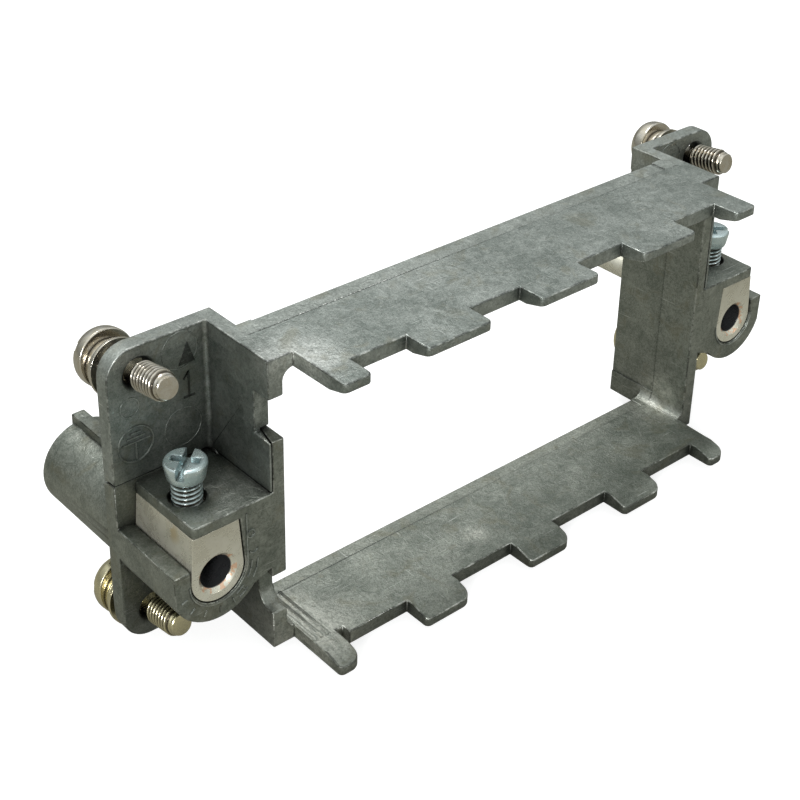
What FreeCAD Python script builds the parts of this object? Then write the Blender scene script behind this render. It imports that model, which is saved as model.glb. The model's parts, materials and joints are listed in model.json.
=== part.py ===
"""Hinged frame for four rectangular connector modules.

Two zinc castings are hinged along the length at mid height. X runs along the frame, -Y is the side where
the wires enter, +Y is the mating side and +Z is up. The origin is the centre of the fixing-hole pattern on
the seat face of the flanges, which look towards -Y. All lengths are millimetres.
"""
import math
import os

import FreeCAD, Part

V = FreeCAD.Vector

# Whole frame
overall_length = 84.5
overall_height = 33.0
flange_t = 1.8
flange_corner_r = 3.0

# Fixing-hole pattern
hole_edge_x = 3.5
hole_edge_z = 3.0
fixing_hole_r = 1.42
fixing_mouth_r = 1.85

# Module bays
module_pitch = 14.6
module_count = 4

# End walls
flange_w = 12.65
wall_t = 1.7
wall_front = 9.65
wall_corner_r = 1.2

# Rails and their comb edges, measured from the seat plane towards -Y
rail_t = 1.6
upper_rail_rear = 2.5
lower_rail_rear = 3.0
notch_line = 13.9
tab_reach = 17.05
tab_tip_t = 1.0
ramp_start = 14.8
upper_notch_w = 6.6
lower_notch_w = 8.4
upper_end_tab_inset = 1.2
lower_end_tab_inset = 0.8
tab_round_r = 1.3
relief_w = 0.9
relief_d = 1.1

# Shallow step on the rail faces and inner walls
step_line = 4.75
step_depth = 0.15
step_inset = 1.6
ridge_count = 3
ridge_pitch = 0.75
ridge_w = 0.3
ridge_h = 0.12
ridge_start = 1.0
ridge_length = 8.0

# Front notches in the left end wall
wall_notch_low = 7.7
wall_notch_high = 12.3
wall_notch_d = 2.3
wall_notch_r = 1.9

# Hinge: axis parallel to X, lapped walls and a pin in a lug
hinge_y = 0.4
lug_r = 2.45
lap_t = 0.75
lap_gap = 0.1
lap_floor = 2.1
lap_floor_gap = 0.12
split_gap_left = 0.2
split_gap_right = 0.15
wedge_start = 7.5
wedge_lip = 0.2
pin_r = 0.8
pin_clearance = 0.07
pin_cover = 0.4

# Earth terminal housing, mirrored at both ends
terminal_edge = 4.85
terminal_z = -4.2
cradle_outer_r = 5.1
contact_r = 2.95
contact_gap = 0.1
arm_top = -2.5
arm_chamfer = 0.8
arm_t = 1.8
ledge_top = 2.05
ledge_t = 1.2
ledge_edge = 2.3
ledge_corner_r = 0.5
web_foot = -6.6
barrel_r = 4.85
barrel_length = 12.8
barrel_chamfer = 0.4
boss_r = 4.0
boss_length = 2.2
rib_w = 1.5
rib_top = 1.5
rib_offset = 0.15

# Earth contact
contact_front = 9.5
contact_top_half = 2.55
contact_top_gap = 0.05
wire_bore_r = 1.7
wire_bore_depth = 7.5
wire_chamfer = 0.45
socket_r = 2.6
socket_end = 13.4
pin_contact_r = 1.5
pin_contact_end = 12.4
pin_contact_chamfer = 0.4
socket_bore_r = 1.55
socket_bore_depth = 8.0
socket_slot_w = 0.5
socket_slot_length = 6.5
socket_chamfer = 0.35

# Terminal screw
pe_screw_y = -4.9
pe_thread_r = 1.5
pe_thread_gap = 0.05
pe_ledge_hole_r = 1.8
pe_thread_length = 6.0
pe_head_r = 2.1
pe_head_h = 2.0
pe_head_lift = 2.1
pe_slot_w = 0.8
pe_slot_d = 0.95
pe_cross_length = 2.9
pe_end_chamfer = 0.3

# Fixing screws and their washers; the screws are captive and hang loosely in their holes
screw_r = 1.5
screw_neck_r = 1.05
screw_neck_end = 0.1
screw_tip = 5.0
screw_sag = 0.2
screw_under_head = 5.55
dog_r = 1.2
dog_length = 0.45
head_r = 3.0
head_rim = 0.9
head_h = 2.35
head_crown_r = 1.7
head_slot_w = 0.8
head_slot_d = 1.1
flat_washer_r = 3.0
flat_washer_t = 0.45
flat_washer_lift = 1.9
spring_washer_r = 2.55
spring_washer_t = 0.8
spring_washer_split = 0.55
spring_washer_lean = 25.0
washer_bore_gap = 0.1
washer_hang_gap = 0.02

# Places worked out from the sizes above
half_length = overall_length / 2
half_height = overall_height / 2
hole_x = half_length - hole_edge_x
hole_z = half_height - hole_edge_z
aperture_half = half_length - flange_w
wall_outer = aperture_half + wall_t
upper_end_tab_x = aperture_half - upper_end_tab_inset
lower_end_tab_x = aperture_half - lower_end_tab_inset
terminal_x = half_length - terminal_edge
ledge_outer_x = half_length - ledge_edge
rail_inner = half_height - rail_t
lap_inner = wall_outer - lap_t
cradle_inner_r = contact_r + contact_gap
ledge_under = ledge_top - ledge_t
barrel_end = flange_t + barrel_length
pin_inner_x = aperture_half + pin_cover
pin_outer_x = terminal_x - cradle_inner_r
flange_arc_r = lug_r - lap_gap
flange_hollow_r = lug_r + lap_gap / 2
lug_slot_r = lug_r + lap_gap + 0.05
mouth_depth = fixing_mouth_r - fixing_hole_r
tilt_y = (mouth_depth + flange_t) / 2
washer_bore_r = screw_r + washer_bore_gap
washer_sag = washer_bore_r - screw_neck_r - washer_hang_gap
reach = 60.0


def box(x0, x1, y0, y1, z0, z1):
    """A box between two corners."""
    return Part.makeBox(x1 - x0, y1 - y0, z1 - z0, V(x0, y0, z0))


def rod(r, start, end):
    """A cylinder of radius r from one point to another."""
    line = end - start
    return Part.makeCylinder(r, line.Length, start, line)


def rounded_wire(corners):
    """A closed wire through (point, radius) corners, with arcs where the radius is above zero."""
    edges = []
    count = len(corners)
    cuts = []
    for i, (p, r) in enumerate(corners):
        before = corners[i - 1][0] - p
        after = corners[(i + 1) % count][0] - p
        before.normalize()
        after.normalize()
        if r <= 0:
            cuts.append((p, None, p))
            continue
        half = before.getAngle(after) / 2
        run = r / math.tan(half)
        bisector = before + after
        bisector.normalize()
        middle = p + bisector * (r / math.sin(half) - r)
        cuts.append((p + before * run, middle, p + after * run))
    for i, (start, middle, end) in enumerate(cuts):
        if middle is not None:
            edges.append(Part.Arc(start, middle, end).toShape())
        following = cuts[(i + 1) % count][0]
        if (following - end).Length > 1e-6:
            edges.append(Part.makeLine(end, following))
    return Part.Wire(edges)


def prism_xy(corners, z0, z1):
    """A prism on an outline of (x, y, radius) corners, from z0 to z1."""
    wire = rounded_wire([(V(x, y, z0), r) for x, y, r in corners])
    return Part.Face(wire).extrude(V(0, 0, z1 - z0))


def prism_xz(corners, y0, y1):
    """A prism on an outline of (x, z, radius) corners, from y0 to y1."""
    wire = rounded_wire([(V(x, y0, z), r) for x, z, r in corners])
    return Part.Face(wire).extrude(V(0, y1 - y0, 0))


def prism_yz(corners, x0, x1):
    """A prism on an outline of (y, z, radius) corners, from x0 to x1."""
    wire = rounded_wire([(V(x0, y, z), r) for y, z, r in corners])
    return Part.Face(wire).extrude(V(x1 - x0, 0, 0))


def turned(profile, origin, axis, radial):
    """A solid turned from (radius, distance along the axis) points."""
    points = [origin + radial * r + axis * h for r, h in profile]
    face = Part.Face(Part.makePolygon(points + [points[0]]))
    return face.revolve(origin, axis, 360)


def mirrored(shape):
    """The same shape at the other end of the frame."""
    return shape.mirror(V(0, 0, 0), V(1, 0, 0))


def union(shapes):
    """One solid from touching shapes."""
    joined = shapes[0].fuse(shapes[1:]).removeSplitter()
    return joined.Solids[0] if len(joined.Solids) == 1 else joined


def corner_fillet(x, z, r, y0, y1):
    """The cast radius in the corner between a wall at x and a rail face at z."""
    toward_x = -1 if x > 0 else 1
    toward_z = -1 if z > 0 else 1
    square = box(min(x, x + toward_x * r), max(x, x + toward_x * r), y0, y1,
                 min(z, z + toward_z * r), max(z, z + toward_z * r))
    centre = V(x + toward_x * r, y0, z + toward_z * r)
    return square.cut(rod(r, centre, centre + V(0, y1 - y0, 0)))


def bay_edges(notch_w):
    """The x of both sides of each notch, from left to right."""
    first = -module_pitch * (module_count - 1) / 2
    centres = [first + module_pitch * i for i in range(module_count)]
    return [(c - notch_w / 2, c + notch_w / 2) for c in centres]


def comb_outline(notch_w, end_x, rear, round_r):
    """The rail's outline seen along Z: straight rear edge, tabs between the notches in front."""
    corners = [(-wall_outer, -rear, 0), (-wall_outer, -wall_front, 0), (-end_x, -wall_front, 0)]
    start = -end_x
    for left, right in bay_edges(notch_w):
        corners.append((start, -tab_reach, 0))
        corners.append((left, -tab_reach, round_r))
        corners.append((left, -notch_line, 0))
        corners.append((right, -notch_line, 0))
        start = right
    corners.append((start, -tab_reach, 0))
    corners.append((end_x, -tab_reach, round_r))
    corners += [(end_x, -wall_front, 0), (wall_outer, -wall_front, 0), (wall_outer, -rear, 0)]
    return corners


def rail(notch_w, end_x, rear, round_r, side):
    """A rail plate with its comb; side is 1 for the upper rail and -1 for the lower one."""
    low, high = sorted((side * half_height, side * rail_inner))
    plate = prism_xy(comb_outline(notch_w, end_x, rear, round_r), low, high)
    inner = side * rail_inner
    ramp_end = inner + side * (rail_t - tab_tip_t)
    tip = -tab_reach
    slope = (ramp_end - inner) / (tip + ramp_start)
    past = tip - 1.0
    ramp = prism_yz([(-ramp_start, inner, 0), (past, inner + slope * (past + ramp_start), 0),
                     (past, inner - side, 0), (-ramp_start, inner - side, 0)], -reach, reach)
    return plate.cut(ramp)


def flange(z0, z1):
    """The left flange plate between two heights, with its rounded outer corners."""
    corners = [(-half_length, -half_height, flange_corner_r), (-aperture_half, -half_height, 0),
               (-aperture_half, half_height, 0), (-half_length, half_height, flange_corner_r)]
    return prism_xz(corners, 0, flange_t).common(box(-reach, 0, -1, flange_t + 1, z0, z1))


def lap_zone(clearance, low, high):
    """The outer layer of the left wall, which the lapped wall of the upper half fills."""
    inner = -lap_inner + clearance
    tip = -wall_outer + wedge_lip + clearance
    front = -wall_front - (1.0 if clearance else 0.0)
    outer = -wall_outer - (1.0 if clearance else 0.0)
    rear = flange_t + (1.0 if clearance else 0.0)
    corners = [(outer, rear, 0), (inner, rear, 0), (inner, -wedge_start, 0), (tip, -wall_front, 0)]
    if clearance:
        corners.append((tip, front, 0))
    corners.append((outer, front, 0))
    return prism_xy(corners, low, high)


def hinge_rod(r, x0, x1):
    """A cylinder on the hinge axis."""
    return rod(r, V(x0, hinge_y, 0), V(x1, hinge_y, 0))


def wall_notch(low, high, low_r):
    """The notch in the front edge of the left wall."""
    corners = [(-wall_front - 1, low, 0), (-wall_front + wall_notch_d, low, low_r),
               (-wall_front + wall_notch_d, high, 0), (-wall_front - 1, high, 0)]
    return prism_yz(corners, -wall_outer - 1, -aperture_half + 1)


def upper_end(split, split_gap, notched):
    """The left end of the upper half: flange, wall, lapped layer and hinge lug."""
    plate = flange(lap_floor - 1.0, half_height)
    plate = plate.cut(hinge_rod(flange_hollow_r, -reach, -wall_outer))
    plate = plate.cut(box(-wall_outer, 0, -1, flange_t + 1, -reach, split + split_gap))
    wall = box(-wall_outer, -aperture_half, -wall_front, flange_t, split + split_gap, half_height)
    layer = lap_zone(0, lap_floor + lap_floor_gap, split + split_gap + 0.5)
    lug = hinge_rod(lug_r, -wall_outer, -lap_inner).common(box(-reach, 0, -reach, flange_t, -reach, reach))
    end = union([plate, wall, layer, lug])
    if notched:
        end = end.cut(wall_notch(wall_notch_low, wall_notch_high, 0))
    return end.cut(hinge_rod(pin_r + pin_clearance, -wall_outer - 1, -lap_inner + 1))


def housing(with_barrel):
    """The left terminal housing: cradle, arm, web and ledge, and on the mating side a barrel or a low boss."""
    front, x, z = -wall_front, -terminal_x, terminal_z
    cradle = rod(cradle_outer_r, V(x, front, z), V(x, flange_t, z))
    cradle = cradle.common(box(-half_length, 0, front, 0, -reach, arm_top))
    foot = -math.sqrt(0.5) * cradle_outer_r
    web = prism_xz([(x, ledge_under, 0), (-wall_outer, ledge_under, 0), (-wall_outer, web_foot, 0),
                    (x - foot * 0.75, z + foot * 1.0, 0), (x, z, 0)], front, 0)
    arm = prism_xy([(-half_length, 0, 0), (-half_length, front, 0.2), (-half_length + arm_t - arm_chamfer, front, 0),
                    (-half_length + arm_t, front + arm_chamfer, 0), (-half_length + arm_t, 0, 0)], z, arm_top)
    ledge = prism_xy([(-ledge_outer_x, 0, 0), (-ledge_outer_x, front, ledge_corner_r), (-wall_outer, front, 0),
                      (-wall_outer, 0, 0)], ledge_under, ledge_top)
    if not with_barrel:
        boss = rod(boss_r, V(x, 0, z), V(x, flange_t + boss_length, z))
        return union([cradle, web, arm, ledge, boss])
    barrel = rod(barrel_r, V(x, 0, z), V(x, barrel_end - barrel_chamfer, z))
    nose = Part.makeCone(barrel_r, barrel_r - barrel_chamfer, barrel_chamfer,
                         V(x, barrel_end - barrel_chamfer, z), V(0, 1, 0))
    rib = box(x - rib_offset - rib_w / 2, x - rib_offset + rib_w / 2, flange_t, barrel_end, z, rib_top)
    return union([cradle, web, arm, ledge, barrel, nose, rib])


def cradle_space():
    """The space that the earth contact fills: the U of the cradle, open above the arm, and the barrel bore."""
    x, z = -terminal_x, terminal_z
    r = cradle_inner_r
    front = -wall_front - 1
    bore = rod(r, V(x, front, z), V(x, barrel_end + 1, z))
    taper = prism_xz([(x - r, z, 0), (x + r, z, 0), (x + contact_top_half + contact_gap, ledge_under, 0),
                      (x - r, ledge_under, 0)], front, 0)
    side = box(-reach, x, front, 0, arm_top, ledge_under)
    return bore.fuse([taper, side])


def lower_end(split, notched):
    """The left end of the lower half; the notched end has the barrel."""
    plate = flange(-half_height, lap_floor - 1.0)
    arc = hinge_rod(flange_arc_r, -half_length, -aperture_half).common(box(-reach, 0, 0, flange_t, 0, reach))
    wall = box(-wall_outer, -aperture_half, -wall_front, flange_t, -half_height, split)
    end = union([plate, arc, wall, housing(notched)])
    end = end.cut(lap_zone(lap_gap, lap_floor, reach))
    end = end.cut(hinge_rod(lug_slot_r, -wall_outer - lap_gap, -lap_inner + lap_gap))
    end = end.cut(cradle_space())
    if notched:
        end = end.cut(wall_notch(-wall_notch_high, -wall_notch_low, wall_notch_r))
    end = end.cut(hinge_rod(pin_r, -pin_outer_x - 1, -pin_inner_x))
    ledge_hole = rod(pe_ledge_hole_r, V(-terminal_x, pe_screw_y, ledge_under - 1), V(-terminal_x, pe_screw_y, reach))
    return end.cut(ledge_hole)


def fixing_holes(side):
    """The two holes in the flanges of one half, wide at the seat face and narrow behind it to keep the screws."""
    z = side * hole_z
    holes = []
    for x in (-hole_x, hole_x):
        holes.append(rod(fixing_hole_r, V(x, -1, z), V(x, flange_t + 1, z)))
        holes.append(Part.makeCone(fixing_mouth_r, fixing_hole_r, mouth_depth, V(x, 0, z), V(0, 1, 0)))
    return holes


def rear_step(side):
    """The shallow step along the rear of a rail face; the upper rail has it outside, the lower one inside."""
    face = half_height if side > 0 else -rail_inner
    low, high = face - step_depth, face + 1
    end = aperture_half - step_inset
    return box(-end, end, -step_line, 0, low, high)


def wall_steps():
    """The same shallow step down the inner faces of both end walls."""
    high = rail_inner - wall_corner_r
    return [box(x - step_depth, x + step_depth, -step_line, flange_t + 1, -high, high)
            for x in (-aperture_half, aperture_half)]


def ridges(side):
    """The thin cast ridges at the left end of a rail, parallel to Y."""
    face = half_height if side > 0 else -rail_inner
    first = -aperture_half + ridge_start
    return [box(first + ridge_pitch * i, first + ridge_pitch * i + ridge_w, -step_line - ridge_length, -step_line,
                face - 0.2, face + ridge_h) for i in range(ridge_count)]


def upper_half():
    """The upper casting."""
    plate = rail(upper_notch_w, upper_end_tab_x, upper_rail_rear, 0, 1)
    left = upper_end(wall_notch_low, split_gap_left, True)
    right = mirrored(upper_end(wall_notch_high - 0.1, split_gap_right, False))
    fillets = [corner_fillet(x, rail_inner, wall_corner_r, -wall_front, -upper_rail_rear)
               for x in (-aperture_half, aperture_half)]
    half = union([plate, left, right] + fillets)
    return half.cut(fixing_holes(1) + wall_steps() + [rear_step(1)])


def lower_half():
    """The lower casting with both terminal housings."""
    plate = rail(lower_notch_w, lower_end_tab_x, lower_rail_rear, tab_round_r, -1)
    left = lower_end(wall_notch_low, True)
    right = mirrored(lower_end(wall_notch_high - 0.1, False))
    fillets = [corner_fillet(x, -rail_inner, wall_corner_r, -wall_front, -lower_rail_rear)
               for x in (-aperture_half, aperture_half)]
    half = union([plate, left, right] + fillets + ridges(-1))
    first_notch = bay_edges(lower_notch_w)[0][0]
    relief = box(first_notch, first_notch + relief_w, -notch_line - 1, -notch_line + relief_d, -reach, 0)
    return half.cut(fixing_holes(-1) + wall_steps() + [rear_step(-1), relief])


def hinge_pin():
    """The left hinge pin."""
    return hinge_rod(pin_r, -pin_outer_x, -pin_inner_x)


def terminal_block():
    """The left terminal block with its wire bore and screw hole, through the flange to its rear face."""
    x, z = -terminal_x, terminal_z
    top = ledge_under - contact_top_gap
    body = rod(contact_r, V(x, -contact_front, z), V(x, -0.05, z))
    upper = prism_xz([(x - contact_r, z, 0), (x + contact_r, z, 0), (x + contact_top_half, top, 0),
                      (x - contact_top_half, top, 0)], -contact_front, -0.05)
    collar = rod(contact_r, V(x, -0.1, z), V(x, flange_t, z))
    block = union([body, upper, collar])
    wire_bore = rod(wire_bore_r, V(x, -contact_front - 1, z), V(x, -contact_front + wire_bore_depth, z))
    mouth = Part.makeCone(wire_bore_r + wire_chamfer, wire_bore_r, wire_chamfer, V(x, -contact_front, z), V(0, 1, 0))
    screw_hole = rod(pe_thread_r + pe_thread_gap, V(x, pe_screw_y, z), V(x, pe_screw_y, top + 1))
    return block.cut([wire_bore, mouth, screw_hole])


def socket_contact():
    """The left earth contact: terminal block in front, slotted socket in the barrel."""
    x, z = -terminal_x, terminal_z
    socket = rod(socket_r, V(x, 0, z), V(x, socket_end, z))
    bore = rod(socket_bore_r, V(x, socket_end - socket_bore_depth, z), V(x, socket_end + 1, z))
    lead = Part.makeCone(socket_bore_r, socket_bore_r + socket_chamfer, socket_chamfer,
                         V(x, socket_end - socket_chamfer, z), V(0, 1, 0))
    slot_start = socket_end - socket_slot_length
    half_slot = socket_slot_w / 2
    slots = [box(x - reach, x + reach, slot_start, socket_end + 1, z - half_slot, z + half_slot),
             box(x - half_slot, x + half_slot, slot_start, socket_end + 1, z - reach, z + reach)]
    return union([terminal_block(), socket]).cut([bore, lead] + slots)


def pin_contact():
    """The right earth contact, drawn at the left end: terminal block in front, round pin on the mating side."""
    x, z = -terminal_x, terminal_z
    straight_end = pin_contact_end - pin_contact_chamfer
    pin = rod(pin_contact_r, V(x, 0, z), V(x, straight_end, z))
    nose = Part.makeCone(pin_contact_r, pin_contact_r - pin_contact_chamfer, pin_contact_chamfer,
                         V(x, straight_end, z), V(0, 1, 0))
    return union([terminal_block(), pin, nose])


def pe_screw():
    """The left terminal screw, standing proud of the ledge as when the terminal is open."""
    seat = ledge_top + pe_head_lift
    tip = seat - pe_thread_length
    origin = V(-terminal_x, pe_screw_y, 0)
    rim = pe_head_r - 0.2
    profile = [(0, tip), (pe_thread_r - pe_end_chamfer, tip), (pe_thread_r, tip + pe_end_chamfer),
               (pe_thread_r, seat), (rim, seat), (pe_head_r, seat + 0.3), (pe_head_r, seat + pe_head_h - 0.25),
               (rim, seat + pe_head_h), (0, seat + pe_head_h)]
    screw = turned(profile, origin, V(0, 0, 1), V(1, 0, 0))
    top = seat + pe_head_h
    slot = Part.makeBox(reach, pe_slot_w, pe_slot_d + 1, V(-reach / 2, -pe_slot_w / 2, 0))
    cross = Part.makeBox(pe_slot_w, pe_cross_length, pe_slot_d + 1, V(-pe_slot_w / 2, -pe_cross_length / 2, 0))
    cutter = slot.fuse(cross)
    cutter.rotate(V(0, 0, 0), V(0, 0, 1), pe_slot_angle)
    cutter.translate(V(-terminal_x, pe_screw_y, top - pe_slot_d))
    return screw.cut(cutter)


def hung(shape, x, z, tilt):
    """A piece of a fixing screw, tipped about the hole so that the head sinks and the point rises."""
    shape.rotate(V(x, tilt_y, z - screw_sag), V(1, 0, 0), -tilt)
    return shape


def fixing_screw(x, z, tilt, slot_angle):
    """A captive fixing screw: domed slotted head on the mating side, thin neck, thread and dog point."""
    seat = screw_under_head
    rim = seat + head_rim
    top = seat + head_h
    shoulder_r = (head_r + head_crown_r) / 2 + (head_r - head_crown_r) / 4
    shoulder = rim + (head_h - head_rim) * 0.65
    thread_end = -screw_neck_end - (screw_r - screw_neck_r)
    origin = V(x, 0, z - screw_sag)
    axis = V(0, 1, 0)
    profile = [(0, -screw_tip), (dog_r, -screw_tip), (dog_r, -screw_tip + dog_length),
               (screw_r, -screw_tip + dog_length + screw_r - dog_r), (screw_r, thread_end),
               (screw_neck_r, -screw_neck_end), (screw_neck_r, seat), (head_r, seat), (head_r, rim),
               (shoulder_r, shoulder), (head_crown_r, top), (0, top)]
    screw = turned(profile, origin, axis, V(1, 0, 0))
    slot = Part.makeBox(reach, head_slot_d + 1, head_slot_w, V(-reach / 2, top - head_slot_d, -head_slot_w / 2))
    slot.rotate(V(0, 0, 0), axis, slot_angle)
    slot.translate(origin)
    return hung(screw.cut(slot), x, z, tilt)


def washer(x, z, r, thickness, start):
    """A flat ring that hangs on the neck of a fixing screw."""
    middle = z - screw_sag - washer_sag
    ring = rod(r, V(x, start, middle), V(x, start + thickness, middle))
    return ring.cut(rod(washer_bore_r, V(x, start - 1, middle), V(x, start + thickness + 1, middle)))


def flat_washer(x, z, tilt):
    """The plain washer on the flange side."""
    return hung(washer(x, z, flat_washer_r, flat_washer_t, flange_t + flat_washer_lift), x, z, tilt)


def spring_washer(x, z, tilt, split_angle):
    """The split washer under the screw head."""
    start = screw_under_head - spring_washer_t
    ring = washer(x, z, spring_washer_r, spring_washer_t, start)
    half_split = spring_washer_split / 2
    gap = Part.makeBox(reach, reach, spring_washer_split, V(0, -reach / 2, -half_split))
    gap.rotate(V(0, 0, 0), V(1, 0, 0), spring_washer_lean)
    gap.rotate(V(0, 0, 0), V(0, 1, 0), split_angle)
    gap.translate(V(x, start + spring_washer_t / 2, z - screw_sag - washer_sag))
    return hung(ring.cut(gap), x, z, tilt)


# Side, tilt, turn of the slot and turn of the washer split, as the loose screws happen to hang
pe_slot_angle = 40.0
hanging_screws = {
    "upper_left": (-1, 1, 10.0, 35.0, 120.0),
    "upper_right": (1, 1, 8.0, -30.0, 200.0),
    "lower_left": (-1, -1, 10.0, 10.0, 75.0),
    "lower_right": (1, -1, 9.0, 65.0, 310.0),
}


def build():
    """Every piece of the frame by its node name."""
    pieces = {"lower_half": lower_half(), "upper_half": upper_half()}
    pieces["pe_contact_left"] = socket_contact()
    pieces["pe_contact_right"] = mirrored(pin_contact())
    for name, make in (("hinge_pin", hinge_pin), ("pe_screw", pe_screw)):
        pieces[name + "_left"] = make()
        pieces[name + "_right"] = mirrored(make())
    for name, (side_x, side_z, tilt, slot_angle, split_angle) in hanging_screws.items():
        x, z = side_x * hole_x, side_z * hole_z
        pieces["fixing_screw_" + name] = fixing_screw(x, z, tilt, slot_angle)
        pieces["flat_washer_" + name] = flat_washer(x, z, tilt)
        pieces["spring_washer_" + name] = spring_washer(x, z, tilt, split_angle)
    return pieces


os.makedirs("parts", exist_ok=True)
for node, shape in build().items():
    print(node, "solids", len(shape.Solids), "volume", round(shape.Volume, 2), "valid", shape.isValid())
    shape.exportStep("parts/" + node + ".step")
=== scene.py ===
import json
import math
import random
import bmesh
import bpy
from mathutils import Matrix, Vector, noise
from mathutils.bvhtree import BVHTree


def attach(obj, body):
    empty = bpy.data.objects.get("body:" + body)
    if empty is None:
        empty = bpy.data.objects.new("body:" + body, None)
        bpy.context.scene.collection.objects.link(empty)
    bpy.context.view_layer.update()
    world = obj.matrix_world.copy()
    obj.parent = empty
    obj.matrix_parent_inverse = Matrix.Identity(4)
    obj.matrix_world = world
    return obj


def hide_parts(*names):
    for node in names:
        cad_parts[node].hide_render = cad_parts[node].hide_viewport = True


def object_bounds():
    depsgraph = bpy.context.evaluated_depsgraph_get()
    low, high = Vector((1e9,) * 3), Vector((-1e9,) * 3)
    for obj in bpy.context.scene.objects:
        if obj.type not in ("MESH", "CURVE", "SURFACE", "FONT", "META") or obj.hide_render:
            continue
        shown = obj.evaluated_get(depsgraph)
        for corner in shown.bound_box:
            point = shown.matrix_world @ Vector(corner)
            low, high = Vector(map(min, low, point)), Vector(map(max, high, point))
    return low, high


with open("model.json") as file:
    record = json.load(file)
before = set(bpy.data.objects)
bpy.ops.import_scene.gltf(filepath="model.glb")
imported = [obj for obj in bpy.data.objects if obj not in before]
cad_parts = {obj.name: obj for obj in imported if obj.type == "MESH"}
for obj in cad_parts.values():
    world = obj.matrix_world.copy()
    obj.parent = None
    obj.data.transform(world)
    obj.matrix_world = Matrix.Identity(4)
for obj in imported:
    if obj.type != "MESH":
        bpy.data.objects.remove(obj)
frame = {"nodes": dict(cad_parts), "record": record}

MM = 0.001
cad_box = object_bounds()
scene = bpy.context.scene
random.seed(4)


# Places and sizes on the part, in mm
FLANGE_Y, CRADLE_Y = 0.0, -9.65     # front faces of the flanges and of the cradles
EARTH_X, BORE_Z = 37.4, -4.2        # axis of the earth contacts; the left one has the negative X
EARTH_SCREW_Y = -4.9
WALL_X, CREASE_Y = 31.3, -4.78      # outside of the end walls; the mould's crease along both rails
RAIL_FROM, TOP_FROM = 14.9, 16.1    # heights that the rails and the top faces lie beyond
TAB_FRONT_Y, TAB_CORNER = -16.5, 0.55   # the tabs reach past this Y; the radius of their corners
CASTING_ROUND, CONTACT_ROUND, PIN_ROUND, WASHER_ROUND = 0.2, 0.07, 0.05, 0.06    # rounding of the edges
SHARP = 28.0                        # edges above this angle in degrees are rounded
CREST_R, ROOT_R, PITCH = 1.5, 1.2, 0.5  # the thread that all the screws have
THREAD_SIDES, HEAD_SIDES = 56, 64   # steps round a screw's thread and head
SUNK = -0.02                        # how far raised marks start below their face


# Camera, fitted to the photo: angles in degrees, lengths in mm, focal length and image centre in pixels
AZIMUTH, ELEVATION, ROLL = math.radians(40.1812), math.radians(27.5644), math.radians(0.5859)
DISTANCE, SHIFT_ALONG, SHIFT_UP = 174.6475, 8.5389, -11.9821
FOCAL_PX, CENTRE_PX, FRAME_PX, SENSOR = 1603.97, (370.0, 250.0), 800.0, 36.0


def make_camera():
    """The photo's camera; part of its crop is a lens shift."""
    flat = math.cos(ELEVATION)
    forward = Vector((math.sin(AZIMUTH) * flat, math.cos(AZIMUTH) * flat, -math.sin(ELEVATION)))
    level = Vector((math.cos(AZIMUTH), -math.sin(AZIMUTH), 0.0))
    upright = level.cross(forward)
    right = level * math.cos(ROLL) + upright * math.sin(ROLL)
    up = -level * math.sin(ROLL) + upright * math.cos(ROLL)
    eye = (-DISTANCE * forward - SHIFT_ALONG * right - SHIFT_UP * up) * MM
    data = bpy.data.cameras.new("camera")
    camera = bpy.data.objects.new("camera", data)
    scene.collection.objects.link(camera)
    camera.matrix_world = Matrix(((right.x, up.x, -forward.x, eye.x), (right.y, up.y, -forward.y, eye.y),
                                  (right.z, up.z, -forward.z, eye.z), (0, 0, 0, 1)))
    data.sensor_width = SENSOR
    data.lens = FOCAL_PX / FRAME_PX * SENSOR
    data.shift_x = (FRAME_PX / 2 - CENTRE_PX[0]) / FRAME_PX
    data.shift_y = -(FRAME_PX / 2 - CENTRE_PX[1]) / FRAME_PX
    data.clip_start, data.clip_end = 0.01, 10
    scene.camera = camera


# Node helpers
def add(tree, kind, **settings):
    """A new node in a tree."""
    n = tree.nodes.new(kind)
    for key, value in settings.items():
        setattr(n, key, value)
    return n


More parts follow.
